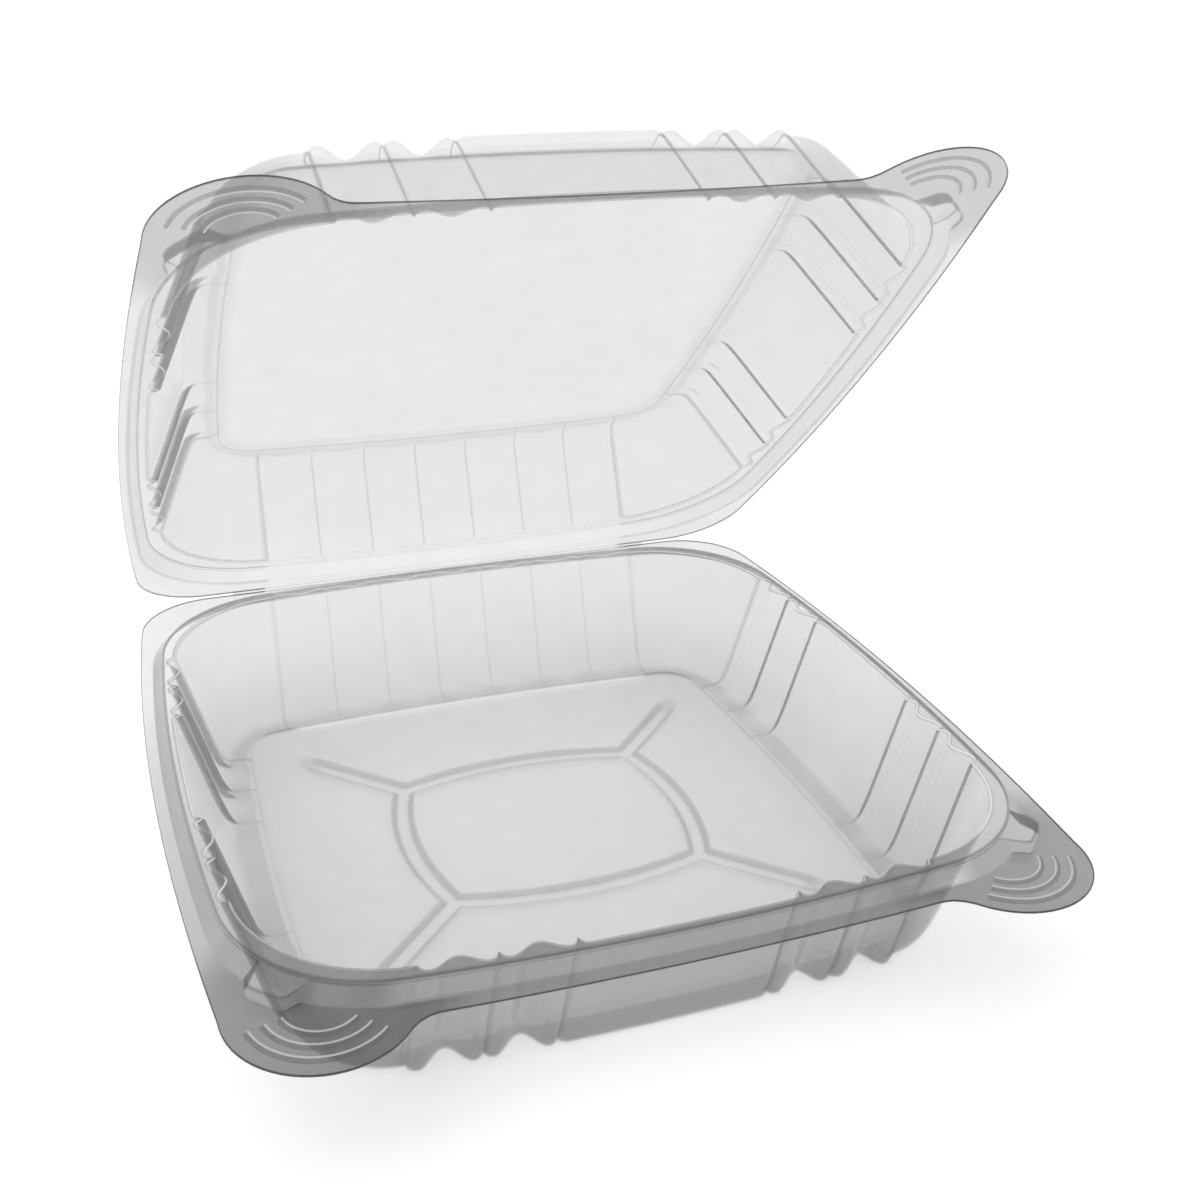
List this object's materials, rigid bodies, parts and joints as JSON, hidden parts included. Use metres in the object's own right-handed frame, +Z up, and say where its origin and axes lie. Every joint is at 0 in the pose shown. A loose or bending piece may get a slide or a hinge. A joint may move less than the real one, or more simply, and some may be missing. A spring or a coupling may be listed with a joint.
{
  "type": "plastic clamshell pack",
  "caption": "Clear hinged-lid food pack: square tray with waved walls, flat flange, corner pull tabs and a matching domed lid on a living hinge.",
  "frame": {"origin": "centre of the tray in plan, on the plane of its foot ring, which is the surface it stands on", "axes": "+X across the pack to the right, +Y to the rear where the lid is hinged, +Z up; the pull tabs face -Y"},
  "size_m": [0.208, 0.2259, 0.1902],
  "materials": {
    "clear_plastic": "clear gloss"
  },
  "bodies": {
    "tray": {"base_tray": "clear_plastic"},
    "lid": {"lid": "clear_plastic"}
  },
  "joints": [
    {"name": "lid_hinge", "type": "hinge", "parent": "tray", "child": "lid", "pos_m": [0, 0.1056, 0.03275], "axis": [-1, 0, 0], "range_deg": [-45, 135]}
  ]
}
